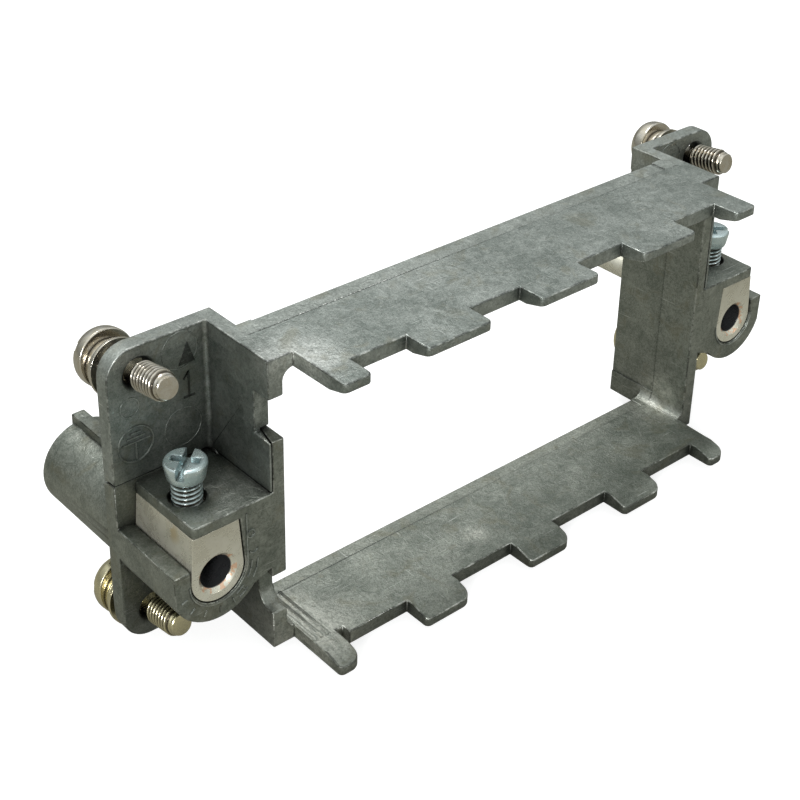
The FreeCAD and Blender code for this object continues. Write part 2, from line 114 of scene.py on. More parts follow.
class Graph:
    """A material's node tree with short calls; its coordinates are mm in the row frame."""

    def __init__(self, name):
        self.material = bpy.data.materials.new(name)
        self.material.use_nodes = True
        self.tree = self.material.node_tree
        self.tree.nodes.clear()
        self.bsdf = self.node("ShaderNodeBsdfPrincipled")
        self.link(self.bsdf.outputs[0], self.node("ShaderNodeOutputMaterial").inputs["Surface"])
        coords = self.node("ShaderNodeTexCoord")
        self.mm = self.scaled(coords.outputs["Object"], (1000, 1000, 1000))

    def node(self, kind, **settings):
        return add(self.tree, kind, **settings)

    def link(self, a, b):
        self.tree.links.new(a, b)

    def put(self, socket, value):
        """Links a socket, or sets a plain value."""
        if hasattr(value, "is_output"):
            self.link(value, socket)
        else:
            socket.default_value = value

    def scaled(self, vector, scale):
        n = self.node("ShaderNodeMapping")
        self.link(vector, n.inputs["Vector"])
        n.inputs["Scale"].default_value = scale
        return n.outputs[0]

    def where(self):
        """X, Y and Z of the surface."""
        n = self.node("ShaderNodeSeparateXYZ")
        self.link(self.mm, n.inputs[0])
        return n.outputs["X"], n.outputs["Y"], n.outputs["Z"]

    def vector_math(self, op, vector, other=None):
        n = self.node("ShaderNodeVectorMath", operation=op)
        self.link(vector, n.inputs[0])
        if other is not None:
            n.inputs[1].default_value = other
        return n.outputs["Value" if op in ("DISTANCE", "LENGTH") else "Vector"]

    def noise(self, scale, detail=3.0, rough=0.6, distortion=0.0, vector=None):
        n = self.node("ShaderNodeTexNoise")
        self.link(vector or self.mm, n.inputs["Vector"])
        settings = (("Scale", scale), ("Detail", detail), ("Roughness", rough), ("Distortion", distortion))
        for key, value in settings:
            n.inputs[key].default_value = value
        return n.outputs["Fac"]

    def ramp(self, value, low, high, to_low=0.0, to_high=1.0):
        """Maps low..high to to_low..to_high and clamps it there."""
        n = self.node("ShaderNodeMapRange")
        self.put(n.inputs["Value"], value)
        for key, v in (("From Min", low), ("From Max", high), ("To Min", to_low), ("To Max", to_high)):
            self.put(n.inputs[key], v)
        return n.outputs[0]

    def math(self, op, a, b=0.0):
        n = self.node("ShaderNodeMath", operation=op)
        self.put(n.inputs[0], a)
        self.put(n.inputs[1], b)
        return n.outputs[0]

    def times(self, a, b):
        return self.math("MULTIPLY", a, b)

    def mix(self, share, a, b):
        """Goes from colour a to colour b; a colour may be a plain (r, g, b)."""
        n = self.node("ShaderNodeMix", data_type="RGBA")
        self.put(n.inputs["Factor"], share)
        self.put(n.inputs["A"], a + (1,) if isinstance(a, tuple) else a)
        self.put(n.inputs["B"], b + (1,) if isinstance(b, tuple) else b)
        return n.outputs["Result"]

    def bump(self, height, distance, strength=1.0, before=None):
        n = self.node("ShaderNodeBump")
        n.inputs["Strength"].default_value = strength
        n.inputs["Distance"].default_value = distance
        self.link(height, n.inputs["Height"])
        if before is not None:
            self.link(before, n.inputs["Normal"])
        return n.outputs[0]

    def mark(self, name):
        """A mark that the mesh carries: edge on rounded edges, root in the grooves of a thread."""
        return self.node("ShaderNodeAttribute", attribute_name=name).outputs["Fac"]

    def openness(self, distance):
        """1 on open faces, less in corners narrower than a distance in metres; the mask for painted shade
        in corners.
        """
        n = self.node("ShaderNodeAmbientOcclusion", samples=4, only_local=False)
        n.inputs["Distance"].default_value = distance
        return n.outputs["AO"]

    def finish(self, colour, rough, normal, metallic):
        self.put(self.bsdf.inputs["Base Color"], colour)
        self.put(self.bsdf.inputs["Roughness"], rough)
        self.link(normal, self.bsdf.inputs["Normal"])
        self.bsdf.inputs["Metallic"].default_value = metallic
        return self.material


def painted_crease_shade(g, along_x, along_y, on_rail):
    """Painted shade in the thin mould crease along a rail, strongest to the left, and down the inside of
    the end walls.
    """
    off = g.math("ABSOLUTE", g.math("ADD", along_y, -CREASE_Y))
    across = g.math("ABSOLUTE", along_x)
    line = g.times(on_rail, g.ramp(along_x, 6.0, -14.0, 0.3, 0.9))
    line = g.times(line, g.ramp(across, 29.0, 28.6))
    on_wall = g.times(g.ramp(across, 29.0, 29.2), g.ramp(across, 29.9, 29.7))
    return g.times(g.math("MAXIMUM", line, g.times(on_wall, 0.6)), g.ramp(off, 0.15, 0.07))


def zinc_material(name, tone=1.0, warm=0.0, rail=0, flows=()):
    """Bare zinc casting: mottled green-grey skin, fine grain, pale blooms, scratches, worn edges, and
    painted shade in corners.

    rail is 1 or -1 for the half whose long rail lies above or below: it gets painted shade along the crease
    at its back.
    flows are (place, radius), where the metal ran together and left pale streaks."""
    g = Graph(name)

    def shade(r, green, b):
        return r * tone, green * tone * (1 - 0.2 * warm), b * tone * (1 - warm)

    along_x, along_y, along_z = g.where()
    patch = g.noise(0.75, 5, 0.7, 1.2)
    grain = g.noise(4.2, 4, 0.75)
    speck = g.noise(11.0, 2, 0.6)

    # mottled skin with pale blooms
    mottled = g.math("ADD", g.times(g.noise(0.16, 4, 0.62, 0.6), 0.5), g.times(patch, 0.5))
    colour = g.mix(g.ramp(mottled, 0.40, 0.60), shade(0.255, 0.288, 0.265), shade(0.465, 0.50, 0.47))
    bloom = g.times(g.ramp(g.noise(0.4, 6, 0.75, 1.8), 0.54, 0.70), g.ramp(grain, 0.35, 0.62))
    colour = g.mix(g.times(bloom, 0.6), colour, shade(0.72, 0.75, 0.71))
    if rail:
        # the strip behind the crease is paler; painted shade darkens the left flange's top
        on_rail = g.ramp(g.times(along_z, rail), RAIL_FROM - 0.1, RAIL_FROM)
        strip = g.times(g.ramp(along_y, -4.85, -4.65), on_rail)
        colour = g.mix(g.times(strip, 0.22), colour, shade(0.75, 0.78, 0.73))
        on_top = g.ramp(along_z, TOP_FROM, TOP_FROM + 0.25)
        painted_shade_left_top = g.times(on_top, g.ramp(along_x, -28.5, -31.5, 0.0, 0.55))
        colour = g.mix(painted_shade_left_top, colour, shade(0.19, 0.205, 0.19))

    # pale streaks
    flowed = 0.0
    for place, radius in flows:
        away = g.vector_math("DISTANCE", g.mm, place)
        streaks = g.noise(1.0, 5, 0.7, 1.2, g.scaled(g.mm, (1.6, 0.45, 1.0)))
        spot = g.times(g.ramp(away, radius, radius * 0.3), g.ramp(streaks, 0.32, 0.54))
        colour = g.mix(g.times(spot, 0.75), colour, shade(0.88, 0.90, 0.86))
        flowed = g.math("MAXIMUM", flowed, g.ramp(away, radius, radius * 0.5))

    # grain, specks, brown stains and scratches
    colour = g.mix(g.ramp(grain, 0.42, 0.64, 0.0, 0.55), colour, shade(0.14, 0.15, 0.135))
    colour = g.mix(g.ramp(speck, 0.58, 0.70, 0.0, 0.5), colour, shade(0.70, 0.72, 0.68))
    stain = g.ramp(g.noise(0.33, 3, 0.6, 0.8), 0.55, 0.68, 0.0, 0.4)
    colour = g.mix(stain, colour, shade(0.27, 0.26, 0.19))
    scratch_a = g.ramp(g.noise(1.0, 2, 0.5, 0.3, g.scaled(g.mm, (0.25, 7.0, 7.0))), 0.69, 0.76)
    scratch_b = g.ramp(g.noise(1.0, 2, 0.5, 0.4, g.scaled(g.mm, (6.0, 0.3, 6.0))), 0.70, 0.77)
    scratches = g.times(g.math("MAXIMUM", scratch_a, scratch_b), 0.5)
    colour = g.mix(scratches, colour, (0.80, 0.82, 0.78))

    # edges worn bright in places and darkened in others
    wear = g.noise(0.55, 5, 0.75)
    edge = g.mark("edge")
    bare = g.times(edge, g.ramp(wear, 0.49, 0.62))
    darkened_edge = g.times(edge, g.ramp(wear, 0.53, 0.43))
    colour = g.mix(g.times(darkened_edge, 0.75), colour, shade(0.10, 0.105, 0.10))
    colour = g.mix(g.times(bare, 0.45), colour, (0.78, 0.79, 0.75))
    if rail:
        # painted shade along the crease, broken into dashes
        line = painted_crease_shade(g, along_x, along_y, on_rail)
        colour = g.mix(g.times(line, g.ramp(speck, 0.66, 0.5)), colour, (0.05, 0.055, 0.05))

    # painted shade in the corners and recesses, but not where the streaks are
    corner = g.ramp(g.openness(0.013), 0.30, 0.90, 0.45, 1.0)
    painted_corner_shade = g.times(g.ramp(g.openness(0.0011), 0.30, 0.92, 0.35, 1.0), corner)
    painted_corner_shade = g.math("MAXIMUM", painted_corner_shade, flowed)
    tinted = g.node("ShaderNodeMix", data_type="RGBA", blend_type="MULTIPLY")
    tinted.inputs["Factor"].default_value = 1.0
    g.link(colour, tinted.inputs["A"])
    g.link(painted_corner_shade, tinted.inputs["B"])

    rough = g.ramp(g.math("ADD", g.times(patch, 0.6), g.times(bare, -0.25)), 0.0, 0.6, 0.26, 0.54)
    normal = g.bump(grain, 0.00006, 0.6)
    normal = g.bump(patch, 0.00018, 0.4, normal)
    normal = g.bump(scratches, 0.00002, 0.6, normal)
    return g.finish(tinted.outputs["Result"], rough, normal, 0.88)


def steel_material(name, base, tint, rough, dust, metal=1.0):
    """Plated steel: bright, with a slightly uneven tint, dulled spots, and painted shade in narrow corners
    and the thread roots.
    """
    g = Graph(name)
    cloud = g.noise(0.9, 4, 0.65, 0.8)
    speck = g.noise(6.0, 3, 0.7)
    colour = g.mix(g.ramp(cloud, 0.38, 0.62), base, tint)
    colour = g.mix(g.times(g.ramp(speck, 0.52, 0.7), dust), colour, (0.34, 0.33, 0.29))
    # painted shade in narrow corners, darker still in the thread roots
    colour = g.mix(g.ramp(g.openness(0.0005), 0.3, 0.9), (0.09, 0.08, 0.065), colour)
    colour = g.mix(g.ramp(g.mark("root"), 0.15, 0.65, 0.0, 0.9), colour, (0.08, 0.065, 0.045))
    roughness = g.ramp(g.math("ADD", cloud, g.times(speck, 0.5)), 0.4, 1.0, rough, rough + 0.2)
    normal = g.bump(speck, 0.000012, 0.5)
    brushed = g.noise(1.0, 2, 0.5, 0.2, g.scaled(g.mm, (9.0, 9.0, 0.6)))
    normal = g.bump(brushed, 0.00001, 0.35, normal)
    return g.finish(colour, roughness, normal, metal)


def contact_material(name, side):
    """Plated earth contact: warm silver with milling marks, and copper in the mouth of the wire bore."""
    g = Graph(name)
    cloud = g.noise(0.8, 4, 0.6, 0.5)
    speck = g.noise(7.0, 3, 0.7)
    colour = g.mix(g.ramp(cloud, 0.36, 0.66), (0.76, 0.735, 0.61), (0.88, 0.86, 0.74))
    pits = g.ramp(g.noise(1.7, 2, 0.5), 0.77, 0.80)
    colour = g.mix(g.times(pits, 0.6), colour, (0.2, 0.18, 0.13))

    # a stain on the block's outer side, and bronze reflections towards its top
    away = g.vector_math("DISTANCE", g.mm, (side * 40.3, -6.3, -0.1))
    smear = g.times(g.ramp(away, 1.3, 0.5), g.ramp(cloud, 0.42, 0.5))
    colour = g.mix(g.times(smear, 0.8), colour, (0.62, 0.48, 0.24))
    _, along_y, along_z = g.where()
    colour = g.mix(g.ramp(along_z, -6.0, 0.5, 0.0, 0.45), colour, (0.36, 0.33, 0.25))

    # copper on the bore's countersink, and painted shade inside the mouth of the bore
    from_axis = g.vector_math("SUBTRACT", g.mm, (side * EARTH_X, 0.0, BORE_Z))
    radius = g.vector_math("LENGTH", g.vector_math("MULTIPLY", from_axis, (1.0, 0.0, 1.0)))
    ring = g.times(g.ramp(radius, 1.68, 1.74), g.ramp(radius, 2.2, 2.14))
    facets = g.ramp(g.noise(1.5, 2, 0.5), 0.53, 0.56)
    colour = g.mix(g.times(g.times(ring, facets), 0.7), colour, (0.80, 0.44, 0.26))
    inside = g.times(g.ramp(radius, 1.78, 1.73), g.ramp(along_y, 0.0, -1.0))
    colour = g.mix(g.times(inside, 0.95), colour, (0.03, 0.035, 0.045))

    rough = g.ramp(g.math("ADD", cloud, g.times(speck, 0.4)), 0.4, 1.0, 0.18, 0.40)
    normal = g.bump(speck, 0.000012, 0.5)
    milled = g.noise(1.0, 2, 0.5, 0.2, g.scaled(g.mm, (1.0, 8.0, 1.0)))
    normal = g.bump(milled, 0.000015, 0.35, normal)
    return g.finish(colour, rough, normal, 0.55)


# Mesh helpers
def new_object(name, bm, material, body, smooth_angle=35.0):
    """Puts a bmesh, in metres in the row frame, in the scene as a piece that rides on a body."""
    bm.normal_update()
    mesh = bpy.data.meshes.new(name)
    bm.to_mesh(mesh)
    bm.free()
    mesh.polygons.foreach_set("use_smooth", [True] * len(mesh.polygons))
    mesh.set_sharp_from_angle(angle=math.radians(smooth_angle))
    mesh.materials.clear()
    mesh.materials.append(material)
    obj = bpy.data.objects.new(name, mesh)
    scene.collection.objects.link(obj)
    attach(obj, body)
    return obj


def apply_modifiers(obj):
    graph = bpy.context.evaluated_depsgraph_get()
    mesh = bpy.data.meshes.new_from_object(obj.evaluated_get(graph), depsgraph=graph)
    obj.modifiers.clear()
    obj.data = mesh


def settle_normals(obj):
    """Weights the normals by face area, so that flat faces stay flat beside their rounded edges."""
    obj.modifiers.new("weighted", "WEIGHTED_NORMAL").keep_sharp = True
    apply_modifiers(obj)


def body_of(node):
    """The body that a CAD solid rides on, from the frame's record."""
    for body, members in frame["record"]["behaviour"]["bodies"].items():
        if node in members:
            return body


def sharp_edges(bm, angle=SHARP):
    return [e for e in bm.edges if len(e.link_faces) == 2 and e.calc_face_angle(0) > math.radians(angle)]


def edge_marks(bm):
    """The face layer that tells the materials where an edge is worn."""
    return bm.faces.layers.float.get("edge") or bm.faces.layers.float.new("edge")


def roomy(edge, needed):
    """Whether both faces beside an edge are wide enough along it for its rounding."""
    a, b = edge.verts[0].co, edge.verts[1].co
    length = (b - a).length
    run = (b - a) / length

    def gap(point):
        return ((point - a) - run * (point - a).dot(run)).length

    for face in edge.link_faces:
        if max(gap(v.co) for v in face.verts) < needed:
            return False
        for other in face.edges:
            c, d = other.verts[0].co, other.verts[1].co
            low, high = sorted(((c - a).dot(run), (d - a).dot(run)))
            shared = min(high, length) - max(low, 0.0)
            parallel = high - low >= 0.9 * (d - c).length
            beside = shared >= 0.1 * min(length, high - low)
            if other is not edge and parallel and beside and gap((c + d) / 2) < needed:
                return False
    return True


def tab_corners(bm):
    """The upright corner edges of the rails' tabs."""
    found = []
    for e in sharp_edges(bm, 60):
        a, b = e.verts[0].co, e.verts[1].co
        if a.y < TAB_FRONT_Y * MM and abs(a.z - b.z) > 0.5 * MM and (a.xy - b.xy).length < 0.01 * MM:
            found.append(e)
    return found


def dressed(node, material, offset, tabs=False):
    """A copy of a CAD solid whose edges are rounded; narrow steps and ribs keep their own edges."""
    bm = bmesh.new()
    bm.from_mesh(frame["nodes"][node].data)
    bmesh.ops.remove_doubles(bm, verts=bm.verts, dist=1e-6)
    bmesh.ops.dissolve_limit(bm, angle_limit=math.radians(0.5), verts=bm.verts, edges=bm.edges)
    if tabs:
        bmesh.ops.bevel(bm, geom=tab_corners(bm), offset=TAB_CORNER * MM, offset_type="OFFSET", segments=4,
                        profile=0.5, affect="EDGES", clamp_overlap=False)
    layer = edge_marks(bm)
    edges = [e for e in sharp_edges(bm) if roomy(e, 2.3 * offset * MM)]
    surface = BVHTree.FromBMesh(bm)
    made = bmesh.ops.bevel(bm, geom=edges, offset=offset * MM, offset_type="WIDTH", segments=2, profile=0.5,
                           affect="EDGES", clamp_overlap=False)
    for face in made["faces"]:
        face[layer] = 1.0
    # a bevel that ran off its faces goes back to the solid's surface
    for v in bm.verts:
        place, _, _, strayed = surface.find_nearest(v.co)
        if strayed > 0.75 * offset * MM:
            v.co = place
    obj = new_object(node + ".skin", bm, material, body_of(node), 50.0)
    settle_normals(obj)
    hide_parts(node)


def lathe(rings, place, segments):
    """A closed turned solid from (radius, height) rings; a radius may be a function of the angle.

    The vertices of a thread keep how deep they lie between its crest and its root."""
    bm = bmesh.new()
    root = bm.verts.layers.float.new("root")
    loops = []
    for radius, height in rings:
        loop = []
        for i in range(segments):
            angle = 2 * math.pi * i / segments
            r = radius(angle) if callable(radius) else radius
            spot = Vector((r * math.cos(angle) * MM, r * math.sin(angle) * MM, height * MM))
            v = bm.verts.new(place @ spot)
            v[root] = (CREST_R - r) / (CREST_R - ROOT_R) if callable(radius) else 0.0
            loop.append(v)
        loops.append(loop)
    for low, high in zip(loops, loops[1:]):
        for i in range(segments):
            j = (i + 1) % segments
            bm.faces.new((low[i], low[j], high[j], high[i]))
    bm.faces.new(list(reversed(loops[0])))
    bm.faces.new(loops[-1])
    return bm


def thread_rings(start, end, fade):
    """Rings of a screw thread from start to end, fading to the root at both ends."""
    rows = int((end - start) / PITCH * 12)
    rings = []
    for k in range(rows + 1):
        z = start + (end - start) * k / rows
        depth = min(1.0, (z - start) / fade, (end - z) / fade)

        def radius(angle, z=z, depth=max(depth, 0.0)):
            phase = (z / PITCH - angle / (2 * math.pi)) % 1.0
            flank = 1 - abs(phase - 0.5) * 2
            crest = min(1.0, max(0.0, (flank - 0.08) / 0.76))
            return ROOT_R + (CREST_R - ROOT_R) * crest * depth
        rings.append((radius, z))
    return rings


def cut_with(obj, cutters):
    """Cuts meshes out of an object."""
    for cutter in cutters:
        tool = bpy.data.objects.new("cutter", cutter)
        scene.collection.objects.link(tool)
        step = obj.modifiers.new("cut", "BOOLEAN")
        step.operation, step.solver, step.object = "DIFFERENCE", "EXACT", tool
        apply_modifiers(obj)
        bpy.data.objects.remove(tool)


def box_mesh(lows, highs, place):
    """A box between two corners in mm, as a mesh."""
    bm = bmesh.new()
    bmesh.ops.create_cube(bm, size=1.0)
    for v in bm.verts:
        spot = [(low + high) / 2 * MM + c * (high - low) * MM for low, high, c in zip(lows, highs, v.co)]
        v.co = place @ Vector(spot)
    mesh = bpy.data.meshes.new("cutter")
    bm.to_mesh(mesh)
    bm.free()
    return mesh


def soften(obj, offset):
    """Rounds the sharp edges of a finished piece a little and marks them as worn."""
    bm = bmesh.new()
    bm.from_mesh(obj.data)
    bmesh.ops.remove_doubles(bm, verts=bm.verts, dist=2e-6)
    layer = edge_marks(bm)
    made = bmesh.ops.bevel(bm, geom=sharp_edges(bm), offset=offset * MM, segments=2, profile=0.5,
                           affect="EDGES", clamp_overlap=True)
    for face in made["faces"]:
        face[layer] = 1.0
    bm.to_mesh(obj.data)
    bm.free()
    obj.data.polygons.foreach_set("use_smooth", [True] * len(obj.data.polygons))
    obj.data.set_sharp_from_angle(angle=math.radians(50))
    settle_normals(obj)


# Screws

# a fixing screw tilts about a line that lies behind the flange's face and below the hole's middle
TILT_Y, SAG = 1.115, 0.2
# corner: X and Z of the hole, tilt, and turn of the head's slot in degrees
HANGING = {"upper_left": (-38.75, 13.5, 10.0, 35.0), "upper_right": (38.75, 13.5, 8.0, -30.0),
           "lower_left": (-38.75, -13.5, 10.0, 10.0), "lower_right": (38.75, -13.5, 9.0, 65.0)}
# profiles as (radius, height)
FIXING_TIP = [(0.95, -5.0), (1.08, -4.98), (1.17, -4.88), (1.17, -4.6), (1.25, -4.5), (1.28, -4.42)]
FIXING_NECK = [(1.05, -0.1), (1.05, 5.5)]
HEAD_RIM = [(2.86, 5.55), (2.97, 5.62), (3.0, 5.75), (3.0, 6.35)]
HEAD_DOME = [(1.55 + 1.45 * math.cos(math.radians(10 * i)), 6.35 + 1.5 * math.sin(math.radians(10 * i)))
             for i in range(1, 9)]
HEAD_TOP = [(1.2, 7.87), (0.6, 7.9)]
EARTH_TIP, EARTH_NECK = [(1.1, -1.85), (1.2, -1.8)], [(1.25, 4.05), (1.25, 4.3)]
EARTH_HEAD = [(1.62, 4.15), (1.76, 4.2), (1.86, 4.4), (2.1, 5.72), (2.08, 5.95), (1.96, 6.1), (1.75, 6.15),
              (0.8, 6.12)]


def turned(place, degrees):
    return place @ Matrix.Rotation(math.radians(degrees), 4, "Z")


def hanging_place(x, z, tilt):
    """Local Z runs from the screw's point to its head; the origin is in the hole, on the seat plane."""
    pivot = Vector((x, TILT_Y, z - SAG)) * MM
    along = Matrix.Rotation(math.radians(-90), 4, "X")
    back = Matrix.Translation(Vector((0, -TILT_Y, 0)) * MM)
    return Matrix.Translation(pivot) @ Matrix.Rotation(math.radians(-tilt), 4, "X") @ back @ along


def fixing_screw(corner, material):
    """A loose fixing screw with a domed, slotted head."""
    x, z, tilt, turn = HANGING[corner]
    place = hanging_place(x, z, tilt)
    node, body = "fixing_screw_" + corner, "screw_" + corner
    thread = lathe(FIXING_TIP + thread_rings(-4.4, -0.45, 0.25) + FIXING_NECK, place, THREAD_SIDES)
    shank = new_object(node + ".thread", thread, material, body, 32.0)
    dome = lathe(HEAD_RIM + HEAD_DOME + HEAD_TOP, place, HEAD_SIDES)
    head = new_object(node + ".head", dome, material, body)
    cut_with(head, [box_mesh((-4, -0.4, 6.8), (4, 0.4, 9), turned(place, turn))])
    soften(head, 0.05)
    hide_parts(node)
    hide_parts(node)


def pe_screw(end, side, material):
    """A terminal screw with a slot and a shorter cross in its head."""
    node = "pe_screw_" + end
    place = Matrix.Translation(Vector((side * EARTH_X, EARTH_SCREW_Y, 0)) * MM)
    thread = lathe(EARTH_TIP + thread_rings(-1.75, 4.0, 0.3) + EARTH_NECK, place, THREAD_SIDES)
    shank = new_object(node + ".thread", thread, material, node, 32.0)
    crown = lathe(EARTH_HEAD, place, HEAD_SIDES)
    head = new_object(node + ".head", crown, material, node)
    slot_place = turned(place, 40 * -side)
    cut_with(head, [box_mesh((-3, -0.42, 4.95), (3, 0.42, 7), slot_place),
                    box_mesh((-0.42, -1.45, 5.0), (0.42, 1.45, 7), slot_place)])
    soften(head, 0.06)
    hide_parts(node)
    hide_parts(node)


# Cast details
def raised_path(bm, points, width, height, place, closed=False):
    """A low raised line along points in the plane of place, with a rounded top."""
    count = len(points)
    rows = []
    for i, p in enumerate(points):
        a = points[(i - 1) % count] if closed or i > 0 else p
        b = points[(i + 1) % count] if closed or i < count - 1 else p
        run = Vector((b[0] - a[0], b[1] - a[1]))
        run.normalize()
        side = Vector((-run.y, run.x)) * width / 2
        row = []
        for k, rise in ((-1.0, SUNK), (-0.55, height), (0.55, height), (1.0, SUNK)):
            spot = Vector(((p[0] + side.x * k) * MM, (p[1] + side.y * k) * MM, rise * MM))
            row.append(bm.verts.new(place @ spot))
        rows.append(row)
    pairs = list(zip(rows, rows[1:])) + ([(rows[-1], rows[0])] if closed else [])
    for one, two in pairs:
        for k in range(3):
            bm.faces.new((one[k], two[k], two[k + 1], one[k + 1]))
    if not closed:
        bm.faces.new(rows[0])
        bm.faces.new(list(reversed(rows[-1])))


def circle_points(cx, cy, r, count, start=0.0, sweep=360.0):
    """Points on a circle or an arc; angles in degrees."""
    steps = count if sweep >= 360 else count - 1
    angles = [math.radians(start + sweep * i / steps) for i in range(count)]
    return [(cx + r * math.cos(a), cy + r * math.sin(a)) for a in angles]


def face_place(y):
    """A plane facing -Y at height y: local x is +X, local y is +Z, local z points out of the face."""
    return Matrix(((1, 0, 0, 0), (0, 0, -1, y * MM), (0, 1, 0, 0), (0, 0, 0, 1)))


def plate_mark(bm, outline, height, place):
    """A raised flat mark with sloping sides."""
    cx = sum(p[0] for p in outline) / len(outline)
    cy = sum(p[1] for p in outline) / len(outline)
    top = [(cx + (x - cx) * 0.93, cy + (y - cy) * 0.93) for x, y in outline]
    low = [bm.verts.new(place @ Vector((x * MM, y * MM, SUNK * MM))) for x, y in outline]
    high = [bm.verts.new(place @ Vector((x * MM, y * MM, height * MM))) for x, y in top]
    count = len(outline)
    for i in range(count):
        j = (i + 1) % count
        bm.faces.new((low[i], low[j], high[j], high[i]))
    bm.faces.new(high)


def worn_all_over(bm, value):
    layer = edge_marks(bm)
    for face in bm.faces:
        face[layer] = value


def flange_marks(zinc, zinc_dark):
    """A dark triangle and numeral, and in a paler tone the earth sign and the mould circles."""
    flange = face_place(FLANGE_Y)
    bm = bmesh.new()
    plate_mark(bm, [(-34.5, 12.65), (-32.65, 12.65), (-33.45, 15.0)], 0.1, flange)
    raised_path(bm, [(-34.0, 11.0), (-33.45, 11.75), (-33.45, 9.0)], 0.26, 0.09, flange)
    raised_path(bm, [(-34.1, 9.0), (-32.85, 9.0)], 0.26, 0.09, flange)
    new_object("upper_frame.marks", bm, zinc_dark, "upper_frame")

    bm = bmesh.new()
    sign_x, wide, high = -39.6, 0.2, 0.12
    raised_path(bm, circle_points(sign_x, 6.2, 1.9, 44), wide, high, flange, closed=True)
    for half, z in ((0.55, 7.45), (0.95, 6.95), (1.5, 6.45)):
        raised_path(bm, [(sign_x - half, z), (sign_x + half, z)], wide, high, flange)
    raised_path(bm, [(sign_x, 6.45), (sign_x, 4.55)], wide, high, flange)
    mould_circles = ((-34.3, 5.9, 2.05), (-34.3, 14.3, 1.95), (-40.0, 10.3, 1.0), (34.3, 5.9, 2.05),
                     (34.3, 14.2, 1.95))
    for x, z, r in mould_circles:
        raised_path(bm, circle_points(x, z, r, 44), 0.14, 0.05, flange, closed=True)
    worn_all_over(bm, 0.7)
    new_object("upper_frame.signs", bm, zinc, "upper_frame")


def cradle_marks(zinc):
    """The rims of both cradles, and dashes round the left one in place of its small lettering."""
    cradle = face_place(CRADLE_Y)
    bm = bmesh.new()
    wide, high = 0.17, 0.09
    for side in (-1, 1):
        rim = circle_points(side * EARTH_X, BORE_Z, 3.28, 30, 180, 180)
        if side < 0:
            rim = rim + [(-34.12, 1.2)]
        raised_path(bm, rim, wide, 0.1, cradle)
    for start in (198, 222, 246, 270, 292, 312):
        out_x, out_z = math.cos(math.radians(start)), math.sin(math.radians(start))
        spot = (-EARTH_X + 4.1 * out_x, BORE_Z + 4.1 * out_z)
        side = (0.34 * out_x, 0.34 * out_z)
        raised_path(bm, [(spot[0] - side[0], spot[1] - side[1]), (spot[0] + side[0], spot[1] + side[1])],
                    wide, high, cradle)
    for start, sweep in ((300, 16), (330, 14), (345, 12)):
        raised_path(bm, circle_points(-EARTH_X, BORE_Z, 4.45, 8, start, sweep), wide, high, cradle)
        raised_path(bm, circle_points(-EARTH_X, BORE_Z, 3.75, 8, start, sweep), wide, high, cradle)
    raised_path(bm, circle_points(-33.65, -1.3, 0.42, 20), wide, high, cradle, closed=True)
    raised_path(bm, circle_points(-33.4, -3.1, 0.5, 20, 200, 140), wide, high, cradle)
    worn_all_over(bm, 0.6)
    new_object("lower_frame.signs", bm, zinc, "lower_frame")


def fillet_strip(bm, x, side, z0, z1, r):
    """The small cast radius in the corner between flange and end wall, seen from the wire side."""
    steps = 6
    rows = []
    for z in (z0, z1):
        row = [bm.verts.new(Vector((x, 0.02, z)) * MM)]
        for i in range(steps + 1):
            a = math.radians(90 * i / steps)
            spot = Vector((x + side * r * (1 - math.sin(a)), -r * (1 - math.cos(a)), z))
            row.append(bm.verts.new(spot * MM))
        rows.append(row)
    low, high = rows
    count = len(low)
    for i in range(count):
        j = (i + 1) % count
        bm.faces.new((low[i], low[j], high[j], high[i]))
    bm.faces.new(list(reversed(low)))
    bm.faces.new(high)


FILLET_FROM, FILLET_TO, FILLET_R = 2.4, 16.45, 0.45


def make_fillets(zinc):
    bm = bmesh.new()
    for side in (-1, 1):
        fillet_strip(bm, side * WALL_X, side, FILLET_FROM, FILLET_TO, FILLET_R)
    bmesh.ops.recalc_face_normals(bm, faces=bm.faces)
    worn_all_over(bm, 0.45)
    new_object("upper_frame.fillets", bm, zinc, "upper_frame")


# casting burrs on the upper rail's crease and the lower rail's front edge: from X, to X, Y, Z, count, size
UPPER_BURRS = ((-27.5, -6.0, -4.72, 16.45, 70, 0.09), (-6.0, 27.0, -4.72, 16.42, 30, 0.06))
LOWER_BURRS = ((-25.0, -19.0, -13.85, -14.92, 26, 0.07),)


def burr_line(bm, x0, x1, y, z, count, size):
    """A broken line of tiny casting burrs along X."""
    for i in range(count):
        x = x0 + (x1 - x0) * (i + random.random()) / count
        if noise.noise(Vector((x * 0.35, y, z))) < -0.12:
            continue
        r = size * random.uniform(0.4, 1.0)
        made = bmesh.ops.create_icosphere(bm, subdivisions=1, radius=r * MM)
        stretch = random.uniform(1.2, 3.2)
        for v in made["verts"]:
            v.co = Vector((v.co.x * stretch + x * MM, v.co.y + (y + random.uniform(-0.03, 0.03)) * MM,
                           v.co.z * 0.8 + (z + r * 0.2) * MM))


def make_flash(bright):
    for body, burrs in (("upper_frame", UPPER_BURRS), ("lower_frame", LOWER_BURRS)):
        bm = bmesh.new()
        for burr in burrs:
            burr_line(bm, *burr)
        new_object(body + ".flash", bm, bright, body, 80)


# Stage and light
MIRRORED_WHITE = 0.12               # share of the white surroundings that metal mirrors
FLOOR_DROP, FLOOR_HALF = 0.00002, 3.0
# the room that everything but the camera sees, as (rise above the horizon, colour)
ROOM = ((0.0, (0.10, 0.105, 0.09)), (0.18, (0.22, 0.235, 0.22)), (0.42, (0.40, 0.43, 0.415)),
        (0.75, (0.95, 0.99, 0.98)), (1.0, (0.62, 0.64, 0.62)))
# name, place and width in metres, power in watts
LAMPS = (("key", (0.0, 0.22, 0.75), 0.3, 2.6), ("front", (-0.60, -0.45, 0.32), 0.2, 3.0),
         ("side", (0.35, -0.75, 0.2), 0.2, 0.7))


